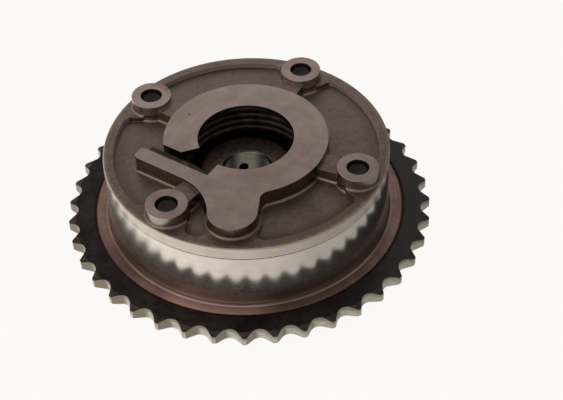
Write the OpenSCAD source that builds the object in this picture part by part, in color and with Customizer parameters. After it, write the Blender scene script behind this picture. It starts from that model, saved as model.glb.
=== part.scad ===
// Vane type cam phaser: a toothed housing with a vaned rotor inside, closed by
// a sintered front cover and a rear plate, held together by four bolts.
// Millimetres. The axis is Z, the front cover faces +Z, and the part stands on
// the heads of its bolts at Z = 0. The stored pose is the locked position with
// the lock pin drawn back.

/* [Sprocket] */
// Pitch of the timing chain
chain_pitch = 8; // [6:0.05:10]
// Number of teeth
tooth_count = 40; // [38:2:48]
// Radius of the round seat between two teeth
seat_r = 2.65; // [2.3:0.05:2.8]
// Height of the tooth tips above the pitch circle
tip_rise = 0.05; // [-0.2:0.05:0.3]
// Slope of the tooth flanks against the radial direction
flank_angle = 42; // [34:1:46]
// Angle of the first tooth from +X
first_tooth_angle = 5.4; // [0:0.1:9]
// Thickness of the toothed ring
sprocket_t = 3.6; // [3:0.1:6]
// Radial length of the bevel on the tooth tips
tip_bevel_l = 1.9; // [0.5:0.1:2.2]
// Axial depth of the bevel on the tooth tips
tip_bevel_h = 0.55; // [0.2:0.05:1]

/* [Housing] */
// Wall of the housing outside the rear plate's seat
seat_wall = 1.7; // [1.2:0.1:2.5]
// Wall of the housing outside the chambers
chamber_wall = 3.5; // [2.8:0.1:4.2]
// Height of the chamber
chamber_h = 15.9; // [14:0.1:22]
// Draft of the outer wall in degrees
wall_draft = 2.6; // [0.5:0.1:4]
// Reach of the flat band beyond the top of the wall
band_w = 4.55; // [3:0.05:6]
// Depth of the band below the toothed ring's face
band_drop = 0.3; // [0.1:0.05:0.6]
// Radius of the fillet at the foot of the wall
foot_fillet = 0.3; // [0.2:0.1:0.8]
// Half angle of a shoe
shoe_half_angle = 13; // [12:0.5:15]
// Angle of the first shoe and its bolt
shoe_1_angle = -131.1; // [-133:0.1:-129]
// Angle of the second shoe and its bolt
shoe_2_angle = -26.6; // [-28:0.1:-25]
// Angle of the third shoe and its bolt
shoe_3_angle = 59; // [57:0.1:61]
// Angle of the fourth shoe and its bolt
shoe_4_angle = 142.9; // [141:0.1:145]

/* [Rear plate] */
// Width of the rear plate outside the bolt holes
plate_rim = 1.44; // [0.8:0.02:2]
// Thickness of the rear plate
rear_plate_t = 4; // [3.95:0.05:6]
// Radius of the journal that turns in the rear plate
journal_r = 19.5; // [18:0.1:20.5]

/* [Front cover] */
// Overhang of the cover beyond the housing wall
cover_overhang = 0.3; // [0:0.05:0.8]
// Thickness of the cover at its rim
rim_t = 3.84; // [3:0.02:6]
// Depth of the cast pockets below the rim
pocket_depth = 1.4; // [0.6:0.1:2]
// Width of the rim outside the cast pockets
rim_w = 2.8; // [2.2:0.1:3.8]
// Radius of the pocket corners
pocket_corner_r = 2.1; // [1:0.1:2.3]
// Height of the ring and the bosses above the rim
ring_rise = 3.49; // [2.5:0.01:6]
// Outer radius of the ring
ring_r = 22.46; // [22:0.02:23.5]
// Radius of the hole in the ring
ring_hole_r = 13.12; // [12:0.02:13.8]
// Thickness of the lip that covers the spring
lip_t = 1.55; // [1:0.05:2]
// Outer radius of a bolt boss
boss_r = 5.57; // [5:0.01:6]
// Width of the rib between a boss and the ring
rib_w = 6.3; // [4:0.1:8]
// Depth of a rib's top below the ring's top
rib_drop = 1.35; // [0.6:0.05:2]
// Radius of the land round a boss
boss_land_r = 7.85; // [7:0.05:8.4]
// Distance of the land's centre outside the bolt circle
boss_land_shift = 4.2; // [3.4:0.1:5]
// Radius of the fillets at the foot of the raised shapes
cove_r = 0.6; // [0.2:0.05:0.8]
// Bevel on the cover's outer edges
cover_bevel = 0.3; // [0.1:0.05:0.5]

/* [Spring bar and stem] */
// Direction of the bar from its free end to its root
bar_angle = -36.2; // [-38:0.1:-34]
// Width of the bar
bar_w = 4.31; // [3.8:0.01:4.7]
// Length of the bar from the radial line at its root
bar_l = 21.5; // [19:0.1:23]
// Radius of the corners at the bar's end
bar_corner_r = 1.6; // [0.8:0.1:2]
// Width of the slot that the spring leg leaves by
slot_w = 3.78; // [3.3:0.01:4.2]
// Opening angle of the ring from the slot's end
ring_gap_angle = 38; // [34:0.5:42]
// Wall of the lock vane outside the lock pin's bore
lock_wall = 1.51; // [1:0.01:2]
// Angle of the lock pin
lock_angle = -98.9; // [-100:0.1:-97.5]
// Radius of the stem's round end
stem_r = 6.52; // [6:0.01:7]
// Width of the land round the stem's end
stem_land_w = 1; // [0.6:0.05:1.2]
// Radius of the fillet between the bar and the stem
bar_fillet_r = 16.2; // [14:0.1:18]
// Radius of the fillet between the ring and the stem
stem_fillet_r = 3.2; // [2:0.1:4]

/* [Bias spring] */
// Wire diameter of the bias spring
bias_wire_d = 2.2; // [1.8:0.05:2.3]
// Number of turns, counted from the hook's direction
bias_turns = 4; // [3:1:4]
// Direction of the hook in the rotor
hook_angle = -93; // [-97:0.5:-89]
// Length of the straight hook beyond its bend
hook_l = 1.4; // [0.8:0.1:1.6]
// Radius of the bend at the hook
hook_bend_r = 1.7; // [1.5:0.1:2]
// Length of the straight leg along the bar
leg_l = 19.6; // [16:0.1:21]
// Length over which the leg climbs to its level
leg_climb_l = 6; // [4:0.5:9]
// Depth of the leg below the ring's top
leg_depth = 0.2; // [0.1:0.05:0.6]
// Depth of the spring groove below the bolt seat
groove_depth = 1.75; // [1:0.05:3]

/* [Rotor] */
// Radius of the rotor's hub
hub_r = 22.2; // [22:0.05:22.5]
// Half angle of a plain vane
vane_half_angle = 11; // [9:0.25:13.25]
// Travel of the rotor from the locked stop to the other stop
rotor_travel = 29; // [20:0.5:29.5]
// Angle left between a stop face and the lock vane
stop_gap = 0.3; // [0.2:0.05:0.5]
// Angle left between a shoe and a plain vane
vane_gap = 1.3; // [1:0.1:1.5]
// Depth of the bolt seat below the ring's top
seat_depth = 11.53; // [10:0.01:12]
// Radius of the bolt seat
bolt_seat_r = 12.65; // [11.5:0.05:13]
// Radius of the hole for the camshaft bolt
bolt_bore_r = 6.7; // [5:0.05:8]
// Bevel at the mouth of the camshaft bolt's hole
bolt_bore_bevel = 0.5; // [0.2:0.05:0.8]
// Radius of the socket for the camshaft
cam_socket_r = 15.6; // [13:0.1:16]
// Depth of the socket for the camshaft
cam_socket_depth = 7.8; // [6.8:0.05:8.2]
// Radius of the camshaft's dowel hole
dowel_r = 2.5; // [1.5:0.05:3]
// Depth of the camshaft's dowel hole
dowel_depth = 4; // [2:0.1:4.5]
// Distance of the dowel hole from the axis
dowel_circle_r = 11.4; // [10.5:0.1:12]
// Angle of the dowel hole
dowel_angle = 141; // [130:0.5:152]
// Radius of the oil holes
oil_hole_r = 1.4; // [0.8:0.05:1.5]
// Depth of the upper oil holes below the bolt seat
upper_oil_depth = 5.6; // [4.8:0.05:6]
// Height of the lower oil holes above the rotor's rear face
lower_oil_rise = 2; // [1.7:0.05:2.2]
// Angle between a vane's side and its oil hole
oil_hole_angle = 3.8; // [3.7:0.1:6]

/* [Seals] */
// Width of the seal strips
seal_w = 2; // [1.4:0.05:2.6]
// Radial height of the seal strips
seal_h = 2.4; // [1.8:0.05:2.8]
// Depth of the seal slots
seal_slot_depth = 3.3; // [3:0.05:3.6]
// Thickness of the leaf springs under the seals
leaf_t = 0.25; // [0.15:0.01:0.35]
// Length of the leaf springs
leaf_l = 13.5; // [9:0.1:13.8]
// Angle of the lock vane's seal from the lock pin
lock_seal_angle = 18; // [16:0.5:22]

/* [Lock pin] */
// Radius of the lock pin's nose
pin_nose_r = 3.5; // [3:0.05:3.7]
// Radius of the lock pin's body
pin_body_r = 4.45; // [4.2:0.05:4.6]
// Length of the lock pin's nose
pin_nose_l = 5; // [4.6:0.05:6]
// Depth of the drawn back nose below the rotor's face
pin_set_back = 0.25; // [0.2:0.05:0.5]
// Travel left behind the drawn back pin
pin_travel = 1; // [0.5:0.05:1.5]
// Height of the pin's guide behind the rotor's face
pin_guide_l = 1.9; // [1.5:0.05:2.4]
// Radius of the spring hole in the pin
pin_spring_r = 2.9; // [2.6:0.05:3]
// Thickness of the pin's end wall
pin_end_t = 2.8; // [2:0.05:3.4]
// Thickness of the lock spring's seat
spring_seat_t = 1.6; // [1:0.05:2]
// Radius of the vent in the lock spring's seat
spring_seat_vent_r = 1; // [0.5:0.05:1.4]
// Wire diameter of the lock spring
lock_wire_d = 0.7; // [0.5:0.05:0.8]
// Number of turns of the lock spring
lock_turns = 7; // [5:1:8]
// Outer radius of the lock bush
bush_r = 4.95; // [4.7:0.05:5.2]
// Height of the lock bush
bush_h = 3.4; // [2.5:0.05:3.8]
// Depth of the free space behind the lock bush
bush_relief = 1; // [0.5:0.05:1.2]

/* [Bolts] */
// Radius of the bolt circle
bolt_circle_r = 32.56; // [32.2:0.02:32.8]
// Thread diameter of the bolts
bolt_d = 6; // [5.5:0.1:6.4]
// Depth of the bolt ends below the bosses
bolt_end_depth = 0.9; // [0.4:0.05:1.5]
// Bevel on the bolt ends
bolt_end_bevel = 0.6; // [0.3:0.05:0.9]
// Width of the hexagon across its flats
hex_w = 8; // [7:0.1:9]
// Height of the hexagon
hex_h = 3.4; // [2.5:0.1:5]
// Radius of the bolt's flange
flange_r = 6; // [5.2:0.1:6.4]
// Thickness of the bolt's flange
flange_t = 1.2; // [0.8:0.05:2]

/* [Clearances] */
// Radial play of the rotor's journal
journal_play = 0.05; // [0.02:0.01:0.1]
// Play between the rotor's faces and its neighbours
face_play = 0.05; // [0.03:0.01:0.1]
// Gap between vane tips or shoe tips and what they pass
tip_gap = 0.2; // [0.1:0.02:0.3]
// Gap between a seal and the wall that it runs on
seal_play = 0.06; // [0.03:0.01:0.09]
// Play of a piece in the slot or bore that holds it
slide_play = 0.05; // [0.03:0.01:0.1]
// Gap of a pressed or seated round piece
press_gap = 0.02; // [0.01:0.01:0.03]
// Gap between a bolt and its hole
bolt_play = 0.2; // [0.1:0.02:0.3]
// Gap between a bolt and its tapped hole
thread_gap = 0.04; // [0.02:0.01:0.06]
// Gap between the bias spring and what holds it
bias_gap = 0.12; // [0.05:0.01:0.2]
// Gap round the bias spring in its well
well_gap = 0.3; // [0.2:0.02:0.4]

/* [Hidden] */
$fn = 64;
eps = 0.01;
cove_inset = 0.02;
cove_root = 0.1;
cove_lead = 14;
corner_lap = 0.02;
far = 100;

// Levels along the axis, from the bolt heads up
rear_z = hex_h + flange_t;
floor_z = rear_z + rear_plate_t;
seam_z = floor_z + chamber_h;
rim_z = seam_z + rim_t;
pocket_z = rim_z - pocket_depth;
top_z = rim_z + ring_rise;
rib_z = top_z - rib_drop;
lip_z = top_z - lip_t;
rotor_z = floor_z + face_play;
rotor_top = seam_z - face_play;
bolt_seat_z = top_z - seat_depth;
groove_z = bolt_seat_z - groove_depth;
socket_z = rear_z + cam_socket_depth;
band_z = rear_z + sprocket_t - band_drop;
bolt_end_z = top_z - bolt_end_depth;

// Sprocket
pitch_r = chain_pitch / (2 * sin(180 / tooth_count));
tip_r = pitch_r + tip_rise;
tooth_angle = 360 / tooth_count;

// Radii from the bolt circle out
plate_seat_r = bolt_circle_r + bolt_d / 2 + bolt_play + plate_rim;
housing_r = plate_seat_r + seat_wall;
chamber_r = housing_r - chamber_wall;
band_r = housing_r + band_w;
cover_r = housing_r + cover_overhang;
pocket_r = cover_r - rim_w;

// Shoes and vanes
shoe_angles = [shoe_1_angle, shoe_2_angle, shoe_3_angle, shoe_4_angle];
shoe_r = hub_r + tip_gap;
vane_r = chamber_r - tip_gap;
lock_circle_r = vane_r - lock_wall - slide_play - pin_body_r;
lock_vane_start = shoe_1_angle + shoe_half_angle + stop_gap;
lock_vane_end = shoe_2_angle - shoe_half_angle - stop_gap - rotor_travel;
vane_starts = [lock_vane_start, for (i = [1:3]) shoe_angles[i] + shoe_half_angle + vane_gap];
vane_ends = [lock_vane_end, for (i = [1:3]) vane_starts[i] + 2 * vane_half_angle];
vane_seal_angles = [lock_angle + lock_seal_angle, for (i = [1:3]) (vane_starts[i] + vane_ends[i]) / 2];

// Bar, slot and spring in the bar's own frame
bar_in = ring_r - bar_w;
slot_out = bar_in - slot_w;
coil_r = bar_in - bias_gap - bias_wire_d / 2;
well_r = coil_r + bias_wire_d / 2 + well_gap;
coil_top = lip_z - bias_gap - bias_wire_d / 2;
coil_bottom = groove_z + bias_gap + bias_wire_d / 2;
leg_z = top_z - leg_depth - bias_wire_d / 2;

// Lock pin levels
pin_top = rotor_top - pin_set_back;
pin_shoulder = pin_top - pin_nose_l;
pin_bottom = rotor_z + spring_seat_t + pin_travel + slide_play;
pin_hole_top = pin_top - pin_end_t;
spring_seat_top = rotor_z + spring_seat_t;
lock_coil_r = pin_spring_r - lock_wire_d / 2 - slide_play;

// Radius of the drafted outer wall at a height
function wall_r(z) = housing_r + (seam_z - z) * tan(wall_draft);

// Point at a radius and an angle
function polar(r, a) = [r * cos(a), r * sin(a)];

// Unit vector
function unit(v) = v / norm(v);

// Angle at the axis between two circles' centres that a third one touches
function side_angle(a, b, c) = acos((a * a + b * b - c * c) / (2 * a * b));

// Pie slice that covers a radius between two angles
module slice_2d(r, a0, a1) {
    steps = ceil((a1 - a0) / 45);
    outer = r / cos((a1 - a0) / steps / 2) + 1;
    polygon(concat([[0, 0]], [for (i = [0:steps]) polar(outer, a0 + (a1 - a0) * i / steps)]));
}

// Hollow corner between a wall at x = 0 and a floor at y = 0, rooted in both
module cove_2d(r) {
    middle = r / (1 - tan(cove_lead));
    difference() {
        translate([-cove_root, -cove_root]) square(middle + cove_root);
        translate([middle, middle]) circle(middle / cos(cove_lead));
    }
}

// Fillet round the foot of a round boss
module boss_cove(r) {
    rotate_extrude() translate([r, 0]) cove_2d(cove_r);
}

// Fillet at the foot of a round wall between two angles, clear of its neighbours
module round_cove(r, a0, a1) {
    inset = asin(cove_inset / r);
    rotate(a0 + inset) rotate_extrude(angle = a1 - a0 - 2 * inset) translate([r, 0]) cove_2d(cove_r);
}

// Fillet at the foot of a hollow round wall between two angles, clear of its neighbours
module hollow_cove(r, a0, a1) {
    inset = asin(cove_inset / r);
    rotate(a0 + inset) rotate_extrude(angle = a1 - a0 - 2 * inset)
        translate([r, 0]) mirror([1, 0]) cove_2d(cove_r);
}

// Fillet along a straight wall from the origin along +X, on its +Y side, clear of its neighbours
module straight_cove(l) {
    translate([cove_inset, 0, 0]) rotate([90, 0, 90]) linear_extrude(l - 2 * cove_inset) cove_2d(cove_r);
}

// One tooth gap, at the angle zero
module tooth_gap_2d() {
    flat_x = pitch_r - seat_r * sin(flank_angle);
    flat_y = seat_r * cos(flank_angle);
    open_x = tip_r + 1;
    open_y = flat_y + (open_x - flat_x) * tan(flank_angle);
    translate([pitch_r, 0]) circle(seat_r);
    polygon([[flat_x, -flat_y], [open_x, -open_y], [open_x, open_y], [flat_x, flat_y]]);
}

// Toothed ring with bevelled tips
module toothed_ring() {
    intersection() {
        translate([0, 0, rear_z]) linear_extrude(sprocket_t) difference() {
            circle(tip_r);
            for (i = [0:tooth_count - 1])
                rotate(first_tooth_angle + (i + 0.5) * tooth_angle) tooth_gap_2d();
        }
        translate([0, 0, rear_z]) rotate_extrude() polygon([
            [0, 0],
            [tip_r - tip_bevel_l, 0],
            [tip_r, tip_bevel_h],
            [tip_r, sprocket_t - tip_bevel_h],
            [tip_r - tip_bevel_l, sprocket_t],
            [0, sprocket_t]
        ]);
    }
}

// One shoe that reaches in between two vanes
module shoe(a) {
    intersection() {
        translate([0, 0, floor_z]) difference() {
            cylinder(r = chamber_r + 1, h = chamber_h);
            translate([0, 0, -1]) cylinder(r = shoe_r, h = chamber_h + 2);
        }
        linear_extrude(far) slice_2d(chamber_r + 1, a - shoe_half_angle, a + shoe_half_angle);
    }
}

module sprocket_housing() {
    color([0.45, 0.43, 0.41]) difference() {
        union() {
            difference() {
                union() {
                    difference() {
                        toothed_ring();
                        translate([0, 0, band_z]) cylinder(r = band_r, h = far);
                    }
                    translate([0, 0, rear_z])
                        cylinder(r1 = wall_r(rear_z), r2 = housing_r, h = seam_z - rear_z);
                    translate([0, 0, band_z]) rotate_extrude()
                        translate([wall_r(band_z + foot_fillet), 0]) cove_2d(foot_fillet);
                }
                translate([0, 0, rear_z - 1]) cylinder(r = plate_seat_r, h = rear_plate_t + 1);
                translate([0, 0, floor_z - 1]) cylinder(r = chamber_r, h = chamber_h + 2);
            }
            for (a = shoe_angles) shoe(a);
        }
        for (a = shoe_angles) rotate(a) {
            translate([bolt_circle_r, 0, rear_z]) cylinder(r = bolt_d / 2 + bolt_play, h = far);
            translate([shoe_r - 1, -seal_w / 2 - slide_play, floor_z - 1])
                cube([seal_slot_depth + 1, seal_w + 2 * slide_play, chamber_h + 2]);
        }
    }
}

module rear_plate() {
    color([0.5, 0.47, 0.43]) difference() {
        translate([0, 0, rear_z]) cylinder(r = plate_seat_r - press_gap, h = rear_plate_t);
        translate([0, 0, rear_z - 1]) cylinder(r = journal_r + journal_play, h = rear_plate_t + 2);
        for (a = shoe_angles) rotate(a)
            translate([bolt_circle_r, 0, rear_z - 1])
                cylinder(r = bolt_d / 2 + bolt_play, h = rear_plate_t + 2);
    }
}

// Corner of a pocket between its outer edge and a round land
module pocket_corner_2d(land_at, land_r, side, grow) {
    edge = pocket_r - pocket_corner_r;
    turn = side * side_angle(norm(land_at), edge, land_r + pocket_corner_r);
    middle = polar(edge, atan2(land_at[1], land_at[0]) + turn);
    on_edge = unit(middle) * (pocket_r + 1);
    on_land = land_at + unit(middle - land_at) * (land_r - 1);
    difference() {
        polygon([middle, on_edge, unit(land_at) * (pocket_r + 1), on_land]);
        translate(middle) circle(pocket_corner_r + corner_lap + grow);
    }
}

// Round land with its two pocket corners
module land_2d(at, r, grow) {
    translate(at) circle(r - grow);
    for (side = [-1, 1]) pocket_corner_2d(at, r, side, grow);
}

// Outline of the cast pockets, grown by a margin
module pockets_2d(grow) {
    difference() {
        circle(pocket_r + grow);
        for (a = shoe_angles) land_2d(polar(bolt_circle_r + boss_land_shift, a), boss_land_r, grow);
        land_2d(polar(lock_circle_r, lock_angle), stem_r + stem_land_w, grow);
    }
}

// Bar in its own frame
module bar_2d() {
    translate([-bar_l + bar_corner_r, -ring_r]) square([bar_l - bar_corner_r, bar_w]);
    translate([-bar_l, -ring_r + bar_corner_r]) square([bar_l, bar_w - 2 * bar_corner_r]);
    for (y = [-ring_r + bar_corner_r, -bar_in - bar_corner_r])
        translate([-bar_l + bar_corner_r, y]) circle(bar_corner_r);
}

// Fillet circle between the bar and the stem's end, in the bar's frame
stem_in_bar = polar(lock_circle_r, lock_angle - bar_angle);
bar_fillet_y = -ring_r - bar_fillet_r;
bar_fillet_dy = stem_in_bar[1] - bar_fillet_y;
bar_fillet_x = stem_in_bar[0] - sqrt(pow(bar_fillet_r + stem_r, 2) - pow(bar_fillet_dy, 2));
bar_fillet_at = [bar_fillet_x, bar_fillet_y];

// Fillet circle between the ring and the stem's straight side, in the stem's frame
stem_fillet_y = stem_r + stem_fillet_r;
stem_fillet_at = [sqrt(pow(ring_r + stem_fillet_r, 2) - pow(stem_fillet_y, 2)), stem_fillet_y];

// Outline of the ring, bar and stem, with the hole still closed
module raised_2d() {
    circle(ring_r);
    translate(polar(lock_circle_r, lock_angle)) circle(stem_r);
    rotate(bar_angle) {
        bar_2d();
        difference() {
            polygon([
                [0, 0],
                [bar_fillet_x, -bar_in],
                bar_fillet_at,
                stem_in_bar + unit(bar_fillet_at - stem_in_bar) * stem_r,
                stem_in_bar
            ]);
            translate(bar_fillet_at) circle(bar_fillet_r + corner_lap);
        }
    }
    rotate(lock_angle) difference() {
        polygon([
            [0, 0],
            [lock_circle_r, 0],
            [lock_circle_r, stem_r],
            [stem_fillet_at[0], stem_r],
            stem_fillet_at,
            unit(stem_fillet_at) * ring_r
        ]);
        translate(stem_fillet_at) circle(stem_fillet_r + corner_lap);
    }
}

// Fillets at the foot of the bosses and the stem
module boss_coves() {
    to_bar = bar_fillet_at - stem_in_bar;
    for (a = shoe_angles) translate(polar(bolt_circle_r, a)) boss_cove(boss_r);
    rotate(lock_angle) {
        translate([lock_circle_r, 0, 0])
            round_cove(stem_r, atan2(to_bar[1], to_bar[0]) + bar_angle - lock_angle, 90);
        translate([stem_fillet_at[0], stem_r, 0]) straight_cove(lock_circle_r - stem_fillet_at[0]);
    }
}

// Fillets at the foot of the ring, bar and ribs
module ring_coves() {
    to_stem = stem_in_bar - bar_fillet_at;
    fillet_angle = atan2(stem_fillet_at[1], stem_fillet_at[0]);
    ring_end = bar_angle + 180 + asin(slot_out / ring_r) - 1;
    round_cove(ring_r, lock_angle + fillet_angle, ring_end);
    rotate(bar_angle) {
        translate([-bar_l + bar_corner_r, -ring_r, 0]) mirror([0, 1, 0])
            straight_cove(bar_l - bar_corner_r + bar_fillet_x);
        translate([-bar_l, -bar_in - bar_corner_r, 0]) rotate(-90) mirror([0, 1, 0])
            straight_cove(bar_w - 2 * bar_corner_r);
        translate([-bar_l + bar_corner_r, -ring_r + bar_corner_r, 0]) round_cove(bar_corner_r, 180, 270);
        translate([-bar_l + bar_corner_r, -bar_in - bar_corner_r, 0]) round_cove(bar_corner_r, 90, 180);
        translate(bar_fillet_at) hollow_cove(bar_fillet_r + corner_lap, atan2(to_stem[1], to_stem[0]), 90);
    }
    rotate(lock_angle) translate(stem_fillet_at)
        hollow_cove(stem_fillet_r + corner_lap, 180 + fillet_angle, 270);
    for (a = shoe_angles) rotate(a)
        for (side = [0, 1]) mirror([0, side, 0])
            translate([ring_r - 1, rib_w / 2, 0]) straight_cove(bolt_circle_r - ring_r + 1);
}

// Ribs between the bosses and the ring
module ribs_2d() {
    for (a = shoe_angles) rotate(a)
        translate([ring_r - 1, -rib_w / 2]) square([bolt_circle_r - ring_r + 1, rib_w]);
}

// Slot for the spring leg and the open part of the ring, in the bar's frame
module spring_slot_2d() {
    tip = -slot_out * tan(ring_gap_angle);
    polygon([
        [0, 0],
        [0, -bar_in],
        [-bar_l - 2 * bar_corner_r, -bar_in],
        [-bar_l - 2 * bar_corner_r, -slot_out],
        [tip, -slot_out]
    ]);
}

module front_cover() {
    color([0.42, 0.37, 0.35]) difference() {
        union() {
            difference() {
                translate([0, 0, seam_z]) rotate_extrude() polygon([
                    [0, 0],
                    [cover_r - cover_bevel, 0],
                    [cover_r, cover_bevel],
                    [cover_r, rim_t - cover_bevel],
                    [cover_r - cover_bevel, rim_t],
                    [0, rim_t]
                ]);
                translate([0, 0, pocket_z]) linear_extrude(far) pockets_2d(0);
            }
            translate([0, 0, pocket_z - eps]) linear_extrude(top_z - pocket_z + eps) difference() {
                raised_2d();
                rotate(bar_angle) spring_slot_2d();
            }
            translate([0, 0, pocket_z - eps]) linear_extrude(rib_z - pocket_z + eps) ribs_2d();
            for (a = shoe_angles) translate(polar(bolt_circle_r, a))
                translate([0, 0, pocket_z - eps]) cylinder(r = boss_r, h = top_z - pocket_z + eps);
            translate([0, 0, pocket_z]) {
                ring_coves();
                boss_coves();
            }
            translate([0, 0, rim_z]) intersection() {
                boss_coves();
                translate([0, 0, -cove_r]) linear_extrude(2 * cove_r) difference() {
                    circle(cover_r - cover_bevel);
                    pockets_2d(cove_inset);
                }
            }
        }
        translate([0, 0, seam_z - 1]) cylinder(r = well_r, h = lip_z - seam_z + 1);
        cylinder(r = ring_hole_r, h = far);
        for (a = shoe_angles) translate(polar(bolt_circle_r, a))
            cylinder(r = bolt_d / 2 + thread_gap, h = far);
        translate(polar(lock_circle_r, lock_angle)) translate([0, 0, seam_z - 1]) {
            cylinder(r = bush_r + press_gap, h = bush_h + press_gap + 1);
            cylinder(r = pin_nose_r + slide_play, h = bush_h + bush_relief + 1);
        }
    }
}

// Sector of the rotor between two angles
module vane(a0, a1) {
    intersection() {
        translate([0, 0, rotor_z]) cylinder(r = vane_r, h = rotor_top - rotor_z);
        linear_extrude(far) slice_2d(vane_r, a0, a1);
    }
}

module rotor() {
    color([0.33, 0.3, 0.28]) difference() {
        union() {
            translate([0, 0, rotor_z]) cylinder(r = hub_r, h = rotor_top - rotor_z);
            translate([0, 0, rear_z]) cylinder(r = journal_r, h = rear_plate_t + 1);
            for (i = [0:3]) vane(vane_starts[i], vane_ends[i]);
        }
        translate([0, 0, bolt_seat_z]) cylinder(r = well_r, h = far);
        translate([0, 0, groove_z]) difference() {
            cylinder(r = well_r, h = far);
            translate([0, 0, -1]) cylinder(r = bolt_seat_r, h = far + 2);
        }
        cylinder(r = bolt_bore_r, h = far);
        translate([0, 0, bolt_seat_z - bolt_bore_bevel])
            cylinder(r1 = bolt_bore_r, r2 = bolt_bore_r + bolt_bore_bevel + eps, h = bolt_bore_bevel + eps);
        translate([0, 0, rear_z - 1]) cylinder(r = cam_socket_r, h = cam_socket_depth + 1);
        rotate(dowel_angle) translate([dowel_circle_r, 0, socket_z - 1])
            cylinder(r = dowel_r, h = dowel_depth + 1);
        hook_slot();
        for (i = [0:3]) {
            oil_hole(vane_ends[i] + oil_hole_angle, bolt_seat_z - upper_oil_depth, bolt_bore_r);
            oil_hole(vane_starts[i] - oil_hole_angle, rotor_z + lower_oil_rise, cam_socket_r);
            rotate(vane_seal_angles[i])
                translate([vane_r - seal_slot_depth, -seal_w / 2 - slide_play, rotor_z - 1])
                    cube([seal_slot_depth + 1, seal_w + 2 * slide_play, rotor_top - rotor_z + 2]);
        }
        translate(polar(lock_circle_r, lock_angle)) translate([0, 0, rotor_z - 1]) {
            cylinder(r = pin_nose_r + slide_play, h = far);
            cylinder(r = pin_body_r + slide_play, h = rotor_top - pin_guide_l - rotor_z + 1);
        }
    }
}

// Oil hole from a bore out through the hub
module oil_hole(a, z, from_r) {
    rotate(a) translate([from_r - 1, 0, z]) rotate([0, 90, 0])
        cylinder(r = oil_hole_r, h = hub_r - from_r + 2);
}

// Slot in the hub that holds the hook of the bias spring
module hook_slot() {
    w = bias_wire_d + 2 * well_gap;
    rotate(hook_angle) translate([coil_r, -w / 2, groove_z])
        cube([hook_bend_r + hook_l + 2 * well_gap, w, far]);
}

// Closed tube along a path that never runs straight up
function tube_ring(path, i, r, sides) =
    let (
        before = path[max(i - 1, 0)],
        after = path[min(i + 1, len(path) - 1)],
        along = unit(after - before),
        side = unit(cross(along, [0, 0, 1])),
        up = cross(side, along)
    )
    [for (k = [0:sides - 1]) path[i] + r * (cos(360 * k / sides) * side + sin(360 * k / sides) * up)];

module tube(path, r, sides) {
    rings = len(path);
    points = [for (i = [0:rings - 1]) each tube_ring(path, i, r, sides)];
    walls = [
        for (i = [0:rings - 2])
            for (k = [0:sides - 1])
                let (a = i * sides + k, b = i * sides + (k + 1) % sides)
                each [[a, b, b + sides], [a, b + sides, a + sides]]
    ];
    first_cap = [for (k = [0:sides - 1]) sides - 1 - k];
    last_cap = [for (k = [0:sides - 1]) (rings - 1) * sides + k];
    polyhedron(points, concat([first_cap], walls, [last_cap]));
}

// Turns a point in the plane and lifts it
function placed(p, a, z) = [p[0] * cos(a) - p[1] * sin(a), p[0] * sin(a) + p[1] * cos(a), z];

// Path of the bias spring from its hook up the coil and out along the bar
hook_bend_at = [sqrt(pow(coil_r + hook_bend_r, 2) - pow(hook_bend_r, 2)), -hook_bend_r];
hook_end = [hook_bend_at[0] + hook_l, 0];
bend_turn = asin(hook_bend_r / (coil_r + hook_bend_r));
coil_start = hook_angle - bend_turn;
coil_sweep = coil_start - (bar_angle - 90) + 360 * bias_turns;
coil_steps = round(coil_sweep / 14);
bend_steps = 5;
bias_path = concat(
    [placed(hook_end, hook_angle, coil_bottom)],
    [
        for (i = [0:bend_steps - 1])
            let (a = 90 + i * (90 - bend_turn) / bend_steps)
            placed(hook_bend_at + polar(hook_bend_r, a), hook_angle, coil_bottom)
    ],
    [
        for (i = [0:coil_steps])
            let (t = i / coil_steps, a = coil_start - coil_sweep * t)
            placed([coil_r, 0], a, coil_bottom + (coil_top - coil_bottom) * t)
    ],
    [for (x = [leg_climb_l, leg_l]) placed([-x, -coil_r], bar_angle, leg_z)]
);

module bias_spring() {
    color([0.16, 0.15, 0.14]) tube(bias_path, bias_wire_d / 2, 10);
}

// One flanged bolt, head down at the origin
module bolt() {
    intersection() {
        cylinder(d = hex_w / cos(30), h = hex_h, $fn = 6);
        cylinder(r1 = hex_w / 2, r2 = hex_w / 2 + hex_h, h = hex_h);
    }
    translate([0, 0, hex_h]) cylinder(r = flange_r, h = flange_t);
    translate([0, 0, rear_z - eps]) cylinder(d = bolt_d, h = bolt_end_z - bolt_end_bevel - rear_z + eps);
    translate([0, 0, bolt_end_z - bolt_end_bevel])
        cylinder(r1 = bolt_d / 2, r2 = bolt_d / 2 - bolt_end_bevel, h = bolt_end_bevel);
}

module housing_bolts() {
    color([0.13, 0.13, 0.13]) for (a = shoe_angles) translate(polar(bolt_circle_r, a)) rotate(a) bolt();
}

module lock_pin() {
    color([0.6, 0.6, 0.58]) translate(polar(lock_circle_r, lock_angle)) difference() {
        union() {
            translate([0, 0, pin_shoulder - eps]) cylinder(r = pin_nose_r, h = pin_top - pin_shoulder + eps);
            translate([0, 0, pin_bottom]) cylinder(r = pin_body_r, h = pin_shoulder - pin_bottom);
        }
        translate([0, 0, pin_bottom - 1]) cylinder(r = pin_spring_r, h = pin_hole_top - pin_bottom + 1);
    }
}

// Path of the lock spring between its seat and the pin's end wall
lock_low = spring_seat_top + slide_play + lock_wire_d / 2;
lock_high = pin_hole_top - slide_play - lock_wire_d / 2;
lock_steps = 14 * lock_turns;
lock_path = [
    for (i = [0:lock_steps])
        let (t = i / lock_steps)
        placed([lock_coil_r, 0], 360 * lock_turns * t, lock_low + (lock_high - lock_low) * t)
];

module lock_spring() {
    color([0.7, 0.7, 0.7]) translate(polar(lock_circle_r, lock_angle)) tube(lock_path, lock_wire_d / 2, 6);
}

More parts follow.
